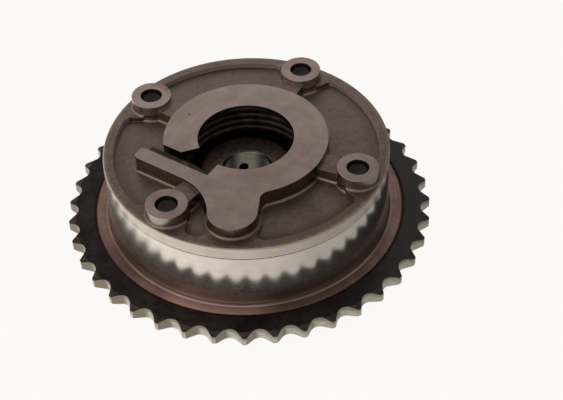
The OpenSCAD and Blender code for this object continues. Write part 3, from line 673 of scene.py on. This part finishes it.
@dataclass(frozen=True)
class TemperedWire:
    """Oil-tempered spring wire: dark scale with drawing lines and a painted highlight on the crests that
    face up.
    """

    scale: Shades = (tone(38, 32, 26), tone(62, 53, 44))
    # Painted highlight on the crests that face up
    rubbed: Colour = tone(76, 63, 46)
    roughness: Pair = (0.42, 0.2)
    relief: float = 0.012

    def make(self) -> Material:
        """Lays out the finish.

        Returns:
            The material.
        """
        g = FinishGraph("spring_steel")
        clouds = g.noise(0.35, 3.0)
        lines = g.streaks(0.3, 7.0)
        grain = g.noise(4.0, 2.0)
        g.colour = g.paint(g.step(clouds, 0.35, 0.68), *self.scale)
        # Painted highlight on the upward-facing crests
        crest_highlight = g.times(g.step(g.up, 0.55, 0.95), g.step(lines, 0.4, 0.62), 0.5)
        g.coat(crest_highlight, self.rubbed)
        normal = g.bump(g.choose(0.4, lines, grain), self.relief)
        return g.done(g.rough(grain, self.roughness), normal)


@dataclass(frozen=True)
class BlackPhosphate:
    """Phosphated and oiled bolts: near-black crystals, rubbed grey where they stand."""

    coat: Shades = (tone(29, 26, 25), tone(46, 42, 40))
    rubbed: Colour = tone(104, 106, 98)
    rubbed_z: Pair = (1.0, 0.1)
    roughness: Pair = (0.36, 0.2)
    relief: float = 0.015
    edge_r: float = 0.1

    def make(self) -> Material:
        """Lays out the finish.

        Returns:
            The material.
        """
        g = FinishGraph("bolt_black")
        crystals = g.noise(5.0, 3.0)
        clouds = g.noise(0.5, 3.0)
        g.colour = g.paint(g.step(crystals, 0.35, 0.65), *self.coat)
        handled = g.times(g.step(clouds, 0.5, 0.62), g.step(g.z, *self.rubbed_z), 0.5)
        g.coat(handled, self.rubbed)
        normal = g.bump(crystals, self.relief, g.rounded(self.edge_r))
        return g.done(g.rough(crystals, self.roughness), normal)


@dataclass(frozen=True)
class GroundPin:
    """Hardened and ground pin steel with fine rings and a straw-coloured tint."""

    steel: Shades = (tone(150, 143, 131), tone(190, 184, 172))
    straw: Colour = tone(172, 142, 98)
    roughness: Pair = (0.16, 0.14)
    relief: float = 0.008
    edge_r: float = 0.12

    def make(self) -> Material:
        """Lays out the finish.

        Returns:
            The material.
        """
        g = FinishGraph("pin_steel")
        rings = g.streaks(0.1, 8.0)
        clouds = g.noise(0.4, 2.0)
        g.colour = g.paint(g.step(rings, 0.35, 0.65), *self.steel)
        g.coat(g.times(g.step(clouds, 0.52, 0.68), 0.5), self.straw)
        normal = g.bump(rings, self.relief, g.rounded(self.edge_r))
        return g.done(g.rough(rings, self.roughness), normal)


@dataclass(frozen=True)
class BrightStrip:
    """Cold-rolled stainless strip and wire for the small springs."""

    steel: Shades = (tone(164, 159, 152), tone(206, 202, 196))
    roughness: Pair = (0.16, 0.16)
    relief: float = 0.006

    def make(self) -> Material:
        """Lays out the finish.

        Returns:
            The material.
        """
        g = FinishGraph("spring_bright")
        rolled = g.streaks(6.0, 0.4)
        clouds = g.noise(0.6, 2.0)
        g.colour = g.paint(g.step(g.choose(0.4, rolled, clouds), 0.36, 0.64), *self.steel)
        return g.done(g.rough(rolled, self.roughness), g.bump(rolled, self.relief))


@dataclass(frozen=True)
class FilledPolymer:
    """Brown-black filled polymer of the sealing strips, with short fibres."""

    body: Shades = (tone(38, 31, 26), tone(64, 52, 42))
    fibre: Colour = tone(120, 104, 84)
    roughness: Pair = (0.4, 0.2)
    relief: float = 0.012
    edge_r: float = 0.08

    def make(self) -> Material:
        """Lays out the finish.

        Returns:
            The material.
        """
        g = FinishGraph("seal_polymer", metallic=0.0)
        clouds = g.noise(0.8, 3.0)
        fibres = g.streaks(5.0, 0.8, 2.0)
        g.colour = g.paint(g.step(clouds, 0.35, 0.66), *self.body)
        g.coat(g.times(g.step(fibres, 0.6, 0.72), 0.6), self.fibre)
        normal = g.bump(fibres, self.relief, g.rounded(self.edge_r))
        return g.done(g.rough(fibres, self.roughness), normal)


def new_piece(
    name: str, points: list[Point], faces: list[Face], material: Material, sharp: float = 40.0
) -> Piece:
    """Makes a mesh object from points in millimetres and reports it.

    Args:
        name: Name of the piece.
        points: Points in the part's frame, in mm.
        faces: Rings of point numbers.
        material: Finish.
        sharp: Angle in degrees above which an edge stays sharp.

    Returns:
        The object, in the scene.
    """
    mesh = bpy.data.meshes.new(name)
    mesh.from_pydata([(x * MM, y * MM, z * MM) for x, y, z in points], [], faces)
    mesh.validate()
    mesh.materials.append(material)
    mesh.shade_smooth()
    mesh.set_sharp_from_angle(angle=math.radians(sharp))
    piece = bpy.data.objects.new(name, mesh)
    bpy.context.scene.collection.objects.link(piece)
    LOG.info("%s built with %d faces", name, len(faces))
    return piece


def tube_faces(rings: int, sides: int, first: int = 0) -> list[Face]:
    """Lists the faces of a closed tube of point rings.

    Args:
        rings: Number of rings.
        sides: Points to a ring.
        first: Number of the first point.

    Returns:
        The faces, end caps included.
    """
    faces: list[Face] = []
    for ring in range(rings - 1):
        low, high = first + ring * sides, first + (ring + 1) * sides
        for side in range(sides):
            after = (side + 1) % sides
            faces.append((low + side, low + after, high + after, high + side))
    faces.append(tuple(first + side for side in reversed(range(sides))))
    last = first + (rings - 1) * sides
    faces.append(tuple(last + side for side in range(sides)))
    return faces


@dataclass(frozen=True)
class RoundWire:
    """Round spring wire with blunted ends."""

    radius: float
    sides: int
    blunt: float = 0.22
    end_share: float = 0.8

    def sweep(self, path: list[Vector]) -> tuple[list[Point], list[Face]]:
        """Sweeps the wire along a path.

        Args:
            path: Middle of the wire, in mm.

        Returns:
            The points in mm, and the faces.
        """
        first, last = (path[1] - path[0]).normalized(), (path[-1] - path[-2]).normalized()
        blunt = self.blunt * self.radius
        stations = [(path[0], first, self.end_share), (path[0] + first * blunt, first, 1.0)]
        for before, here, after in zip(path, path[1:], path[2:]):
            stations.append((here, (after - before).normalized(), 1.0))
        stations += [(path[-1] - last * blunt, last, 1.0), (path[-1], last, self.end_share)]
        points: list[Point] = []
        for middle, along, share in stations:
            side = along.cross(Vector((0.0, 0.0, 1.0))).normalized()
            rise = side.cross(along)
            for number in range(self.sides):
                angle = 2 * math.pi * number / self.sides
                offset = side * math.cos(angle) + rise * math.sin(angle)
                points.append(tuple(middle + offset * (self.radius * share)))
        return points, tube_faces(len(stations), self.sides)


def dress_nodes(names: tuple[str, ...], material: Material) -> None:
    """Gives CAD nodes a finish and reports them.

    Args:
        names: Names of the nodes.
        material: Finish.
    """
    for name in names:
        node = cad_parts[name]
        if not node.material_slots:
            node.data.materials.append(material)
        for place in node.material_slots:
            place.material = material
        LOG.info("%s dressed in %s", name, material.name)


@dataclass
class HousingAssembly:
    """Sprocket housing and front cover, with the rear plate and the lock spring's seat."""

    housing: str = "sprocket_housing"
    cover: str = "front_cover"
    plates: tuple[str, ...] = ("rear_plate", "lock_spring_seat")

    def dress(self) -> None:
        """Gives each piece its finish."""
        dress_nodes((self.housing,), HardenedHousing().make())
        dress_nodes((self.cover,), SinteredCover().make())
        dress_nodes(self.plates, GroundPlate().make())


@dataclass
class RotorAssembly:
    """Vaned rotor with the lock pin and its bush, the seals and the leaf springs under them."""

    rotor: str = "rotor"
    pins: tuple[str, ...] = ("lock_pin", "lock_bush")
    seal_rows: tuple[str, ...] = ("vane_seal", "shoe_seal")
    count: int = 4

    def dress(self) -> None:
        """Gives each piece its finish."""
        dress_nodes((self.rotor,), SinteredRotor().make())
        dress_nodes(self.pins, GroundPin().make())
        numbers = range(1, self.count + 1)
        strips = tuple(f"{row}_{n}" for row in self.seal_rows for n in numbers)
        springs = tuple(f"{row}_spring_{n}" for row in self.seal_rows for n in numbers)
        dress_nodes(strips, FilledPolymer().make())
        dress_nodes(springs, BrightStrip().make())


@dataclass
class LockSpring:
    """Compression spring behind the lock pin, wound from round wire with closed ends."""

    node: str = "lock_spring"
    joint: str = "lock_pin_slide"
    wire: RoundWire = RoundWire(radius=0.35, sides=12)
    turns: int = 7
    close_gap: float = 0.03
    travel: float = 1.0
    turn_steps: int = 32

    def room(self) -> tuple[Vector, Vector]:
        """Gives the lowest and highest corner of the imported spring, in mm."""
        low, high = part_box(self.node)
        return Vector(low) / MM, Vector(high) / MM

    def path(self) -> list[Vector]:
        """Lists the middle of the wire from the seat up to the pin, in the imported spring's room.

        Returns:
            The points in mm.
        """
        low, high = self.room()
        middle = (low + high) / 2
        coil_r = (high.y - low.y) / 2 - self.wire.radius
        bottom, top = low.z + self.wire.radius, high.z - self.wire.radius
        close = 2 * self.wire.radius + self.close_gap
        pitch = (top - bottom - 2 * close) / (self.turns - 2)
        points: list[Vector] = []
        for step in range(self.turns * self.turn_steps + 1):
            turn = step / self.turn_steps
            rise = close * min(turn, 1.0) + close * max(0.0, turn - self.turns + 1)
            rise += pitch * min(max(turn - 1.0, 0.0), self.turns - 2)
            x, y = on_circle(coil_r, 2 * math.pi * turn)
            points.append(Vector((middle.x + x, middle.y + y, bottom + rise)))
        return points

    def build(self) -> Piece:
        """Winds the spring in place of the imported one and fixes it to the rotor.

        Returns:
            The spring.
        """
        piece = new_piece("lock_spring_wire", *self.wire.sweep(self.path()), BrightStrip().make())
        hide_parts(self.node)
        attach(piece, Body.ROTOR.value)
        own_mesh(piece)
        return piece


@dataclass
class BiasSpring:
    """Torsion spring between the cover's bar and the rotor's well, wound from round wire."""

    wire: RoundWire = RoundWire(radius=1.1, sides=20)
    coil_r: float = 16.93
    low_z: float = 19.77
    high_z: float = 29.06
    bend_r: float = 1.7
    hook_l: float = 1.4
    hook_angle: float = -93.0
    bar_angle: float = -36.2
    leg_l: float = 19.6
    leg_z: float = 30.53
    climb_l: float = 6.0
    whole_turns: int = 4
    twist_low_z: float = 20.7
    twist_high_z: float = 28.2
    bend_steps: int = 10
    turn_step: float = 4.0

    def path(self) -> list[Vector]:
        """Lists the middle of the wire from the rotor's hook to the end of the leg.

        Returns:
            The points in mm.
        """
        hook = Matrix.Rotation(math.radians(self.hook_angle), 3, "Z")
        bar = Matrix.Rotation(math.radians(self.bar_angle), 3, "Z")
        reach = self.coil_r + self.bend_r
        bend_x = math.sqrt(reach**2 - self.bend_r**2)
        bend_turn = math.asin(self.bend_r / reach)
        points = [hook @ Vector((bend_x + self.hook_l, 0.0, self.low_z))]
        sweep = math.pi / 2 - bend_turn
        for step in range(self.bend_steps + 1):
            x, y = on_circle(self.bend_r, math.pi / 2 + sweep * step / self.bend_steps)
            points.append(hook @ Vector((bend_x + x, y - self.bend_r, self.low_z)))
        start = math.radians(self.hook_angle) - bend_turn
        end = math.radians(self.bar_angle - 90.0 - 360.0 * self.whole_turns)
        count = math.ceil(math.degrees(start - end) / self.turn_step)
        for step in range(1, count + 1):
            share = step / count
            z = self.low_z + (self.high_z - self.low_z) * share
            points.append(Vector((*on_circle(self.coil_r, start + (end - start) * share), z)))
        for step in range(1, self.bend_steps + 1):
            share = step / self.bend_steps
            z = self.high_z + (self.leg_z - self.high_z) * share * share * (3 - 2 * share)
            points.append(bar @ Vector((-self.climb_l * share, -self.coil_r, z)))
        points.append(bar @ Vector((-self.leg_l, -self.coil_r, self.leg_z)))
        return points

    def build(self) -> Piece:
        """Winds the spring in place of the imported one.

        Returns:
            The spring.
        """
        piece = new_piece("bias_spring_wire", *self.wire.sweep(self.path()), TemperedWire().make())
        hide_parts("bias_spring")
        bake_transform(piece)
        return piece


@dataclass
class HousingBolts:
    """Four flange bolts from the rear, with hexagon heads as feet and threaded ends in the cover."""

    circle_r: float = BOLT_CIRCLE_R
    angles: tuple[float, ...] = BOLT_ANGLES
    seat_z: float = REAR_Z
    across_flats: float = 8.0
    head_h: float = 3.4
    head_dish: tuple[Pair, ...] = ((0.9, 0.34), (2.3, 0.3), (2.75, 0.08), (3.0, 0.0))
    corner_cut: float = 0.08
    corner_z: tuple[float, ...] = (0.0, 0.12, 0.24, 0.36, 0.48, 0.62, 1.6)
    cone_r: float = 4.9
    flange_r: float = 6.0
    flange_edge: float = 0.12
    shank_r: float = 3.0
    thread_from: float = 22.0
    end_z: float = 30.93
    end_bevel: float = 0.6
    end_dish: tuple[Pair, ...] = ((1.5, 0.0), (1.1, 0.14), (0.4, 0.2))
    pitch: float = 1.0
    thread_depth: float = 0.54
    crest_share: float = 0.12
    flank_share: float = 0.7
    sharp: float = 32.0
    sides: int = 72
    thread_rows: int = 10

    def hexagon(self, angle: float) -> float:
        """Gives the hexagon's reach at an angle."""
        sixth = math.pi / 3
        return self.across_flats / 2 / math.cos(angle % sixth - sixth / 2)

    def thread(self, angle: float, z: float) -> float:
        """Gives the thread's radius at an angle and height.

        Args:
            angle: Angle round the bolt.
            z: Height in mm.

        Returns:
            The radius in mm.
        """
        share = (z / self.pitch - angle / (2 * math.pi)) % 1.0
        slope = abs(share - 0.5) * 2
        depth = self.thread_depth * min(1.0, max(0.0, (slope - self.crest_share) / self.flank_share))
        run_in = min(1.0, (z - self.thread_from) / self.pitch)
        bevel = self.shank_r - self.end_bevel + max(0.0, self.end_z - z)
        return min(self.shank_r - depth * run_in, bevel)

    def rings(self) -> list[list[Pair]]:
        """Lists the bolt's rings from the head's dish to the threaded end.

        Returns:
            The rings, each with a radius and a height for every side.
        """
        turn = [2 * math.pi * number / self.sides for number in range(self.sides)]
        flat, flange, shank = self.across_flats / 2, self.flange_r, self.shank_r
        rings = [[ring] * self.sides for ring in self.head_dish]
        for z in (*self.corner_z, self.head_h - 0.35):
            rings.append([(min(self.hexagon(a), flat - self.corner_cut + z), z) for a in turn])
        rings.append([(max(self.hexagon(a), self.cone_r), self.head_h - 0.12) for a in turn])
        skirt = ((flange - 0.3, self.head_h + 0.2), (flange, self.head_h + 0.45))
        rim = ((flange, self.seat_z - self.flange_edge), (flange - self.flange_edge, self.seat_z))
        neck = ((shank + 0.1, self.seat_z), (shank, self.seat_z + 0.2), (shank, self.thread_from))
        rings += [[ring] * self.sides for ring in (*skirt, *rim, *neck)]
        count = round((self.end_z - self.thread_from) / self.pitch * self.thread_rows)
        for row in range(1, count + 1):
            z = self.thread_from + (self.end_z - self.thread_from) * row / count
            rings.append([(self.thread(a, z), z) for a in turn])
        rings += [[(r, self.end_z - depth)] * self.sides for r, depth in self.end_dish]
        return rings

    def build(self) -> Piece:
        """Builds the four bolts as one piece.

        Returns:
            The bolts.
        """
        rings = self.rings()
        points: list[Point] = []
        faces: list[Face] = []
        for own in map(math.radians, self.angles):
            faces += tube_faces(len(rings), self.sides, len(points))
            middle_x, middle_y = on_circle(self.circle_r, own)
            for ring in rings:
                for number, (radius, z) in enumerate(ring):
                    x, y = on_circle(radius, own + 2 * math.pi * number / self.sides)
                    points.append((middle_x + x, middle_y + y, z))
        piece = new_piece("housing_bolts_threaded", points, faces, BlackPhosphate().make(), self.sharp)
        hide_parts("housing_bolts")
        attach(piece, Body.HOUSING.value)
        return piece


class LightGraph(NodeGraph):
    """Adds the nodes that set how strongly the surroundings show."""

    def rays(self, *kinds: str) -> Value:
        """Is 1 for rays of any of the given kinds."""
        path = self.add("LightPath", {}).outputs
        return reduce(self.either, (path[f"Is {kind} Ray"] for kind in kinds))

    def seen(self) -> Value:
        """Is 1 for what the camera sees, straight or in metal and glass."""
        return self.rays("Camera", "Glossy", "Transmission")

    def side_light(self, kind: str, reach: float, left: float, right: float) -> Socket:
        """Gives a strength that is 1 for the camera and falls from left to right in reflections.

        Args:
            kind: Kind of coordinates.
            reach: Place where the fall ends, on either side of 0.
            left: Strength at the left end.
            right: Strength at the right end.

        Returns:
            The strength.
        """
        across = self.split(self.add("TexCoord", {}).outputs[kind])[0]
        ends = {"From Min": -reach, "From Max": reach, "To Min": left, "To Max": right}
        fall = self.add("MapRange", {"Value": across} | ends).outputs["Result"]
        return self.choose(self.rays("Camera"), fall, 1.0)


@dataclass
class Studio:
    """Pale floor, white surroundings and large soft lamps."""

    floor_rings: tuple[float, ...] = (0.1, 0.3, 1.0, 2.0, 4.0)
    floor_sides: int = 96
    floor_z: float = -0.01
    floor_colour: Colour = (0.93, 0.925, 0.91)
    glow_colour: Colour = (1.0, 0.985, 0.965)
    sky_colour: Colour = (1.0, 1.0, 1.0)
    glow: float = 0.95
    sky: float = 0.3
    left_light: float = 1.44
    right_light: float = 0.3
    floor_reach: float = 0.08
    sky_reach: float = 1.0
    lamp_size: float = 1.4
    lamp_places: tuple[tuple[Point, float], ...] = (((-1.1, -0.7, 1.2), 5.0), ((1.0, -0.5, 1.2), 2.5))

    def build_world(self) -> None:
        """Makes the white surroundings."""
        world = bpy.data.worlds.new("studio")
        world.use_nodes = True
        bpy.context.scene.world = world
        back = world.node_tree.nodes["Background"]
        g = LightGraph(world.node_tree)
        fall = g.side_light("Generated", self.sky_reach, self.left_light, self.right_light)
        g.put(back.inputs["Color"], self.sky_colour)
        g.put(back.inputs["Strength"], g.choose(g.seen(), self.sky, fall))

    def floor_finish(self) -> Material:
        """Makes the floor's finish, which shows near white and keeps a soft shadow.

        Returns:
            The material.
        """
        material = bpy.data.materials.new("studio_floor")
        material.use_nodes = True
        material.node_tree.nodes.clear()
        g = LightGraph(material.node_tree)
        fall = g.side_light("Object", self.floor_reach, self.left_light, self.right_light)
        paper = g.add("BsdfDiffuse", {"Color": self.floor_colour}).outputs[0]
        light = g.add("Emission", {"Color": self.glow_colour, "Strength": fall}).outputs[0]
        mixed = g.add("MixShader", {0: g.times(g.seen(), self.glow), 1: paper, 2: light})
        g.add("OutputMaterial", {"Surface": mixed.outputs[0]})
        return material

    def build_floor(self) -> None:
        """Makes the round floor that the bolt heads stand on."""
        sides = self.floor_sides
        points: list[Point] = [(0.0, 0.0, self.floor_z)]
        faces: list[Face] = []
        for number, radius in enumerate(self.floor_rings):
            first = 1 + number * sides
            for side in range(sides):
                after = (side + 1) % sides
                points.append((*on_circle(radius / MM, 2 * math.pi * side / sides), self.floor_z))
                inner = (0,) if number == 0 else (first - sides + after, first - sides + side)
                faces.append((first + side, first + after, *inner))
        new_piece("studio_floor", points, faces, self.floor_finish())

    def build_lamps(self) -> None:
        """Hangs the soft lamps round the part."""
        for number, (place, watts) in enumerate(self.lamp_places, start=1):
            light = bpy.data.lights.new(f"soft_lamp_{number}", "AREA")
            light.size = self.lamp_size
            light.energy = watts
            lamp = bpy.data.objects.new(light.name, light)
            lamp.location = place
            lamp.rotation_mode = "QUATERNION"
            lamp.rotation_quaternion = (-Vector(place)).to_track_quat("-Z", "Y")
            bpy.context.scene.collection.objects.link(lamp)
            LOG.info("%s hung", lamp.name)

    def build(self) -> None:
        """Sets up the whole studio."""
        bpy.context.scene.view_settings.view_transform = "Standard"
        self.build_world()
        self.build_floor()
        self.build_lamps()


@dataclass
class StudioCamera:
    """Camera that looks down on the front cover from the front."""

    elevation: float = 44.358
    distance: float = 0.3761
    focal_px: float = 1315.5
    roll: float = 3.104
    aim: Point = (0.0, 0.0, REAR_Z * MM)
    aim_px: Pair = (249.753, 208.095)
    image_px: Pair = (563.0, 400.0)
    sensor: float = 36.0
    clip: Pair = (0.01, 20.0)

    def axes(self) -> Matrix:
        """Works out how the camera is turned.

        Returns:
            Its right, up and forward directions as rows.
        """
        run, rise = on_circle(1.0, math.radians(self.elevation))
        plain = Matrix(((1.0, 0.0, 0.0), (0.0, rise, run), (0.0, run, -rise)))
        across = (self.aim_px[0] - self.image_px[0] / 2) / self.focal_px
        down = (self.aim_px[1] - self.image_px[1] / 2) / self.focal_px
        ahead = Vector((across, -down, 1.0)).normalized()
        swing = Vector((0.0, 0.0, 1.0)).rotation_difference(ahead).to_matrix()
        return swing @ Matrix.Rotation(math.radians(self.roll), 3, "Z") @ plain

    def build(self) -> None:
        """Places the camera and makes it the scene's own."""
        right, up, forward = self.axes()
        data = bpy.data.cameras.new("studio_camera")
        data.sensor_width = self.sensor
        data.lens = self.focal_px * self.sensor / self.image_px[0]
        data.clip_start, data.clip_end = self.clip
        camera = bpy.data.objects.new("studio_camera", data)
        run, rise = on_circle(self.distance, math.radians(self.elevation))
        spot = Vector(self.aim) + Vector((0.0, -run, rise))
        turn = Matrix((right, up, -forward)).transposed()
        camera.matrix_world = Matrix.Translation(spot) @ turn.to_4x4()
        bpy.context.scene.collection.objects.link(camera)
        bpy.context.scene.camera = camera
        LOG.info("%s placed", camera.name)


def main() -> None:
    """Builds the camera, the studio and each sub-assembly in order."""
    logging.basicConfig(level=logging.INFO, format="%(name)s: %(message)s")
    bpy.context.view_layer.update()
    StudioCamera().build()
    Studio().build()
    HousingAssembly().dress()
    RotorAssembly().dress()
    LockSpring().build()
    BiasSpring().build()
    HousingBolts().build()


if __name__ == "__main__":
    main()
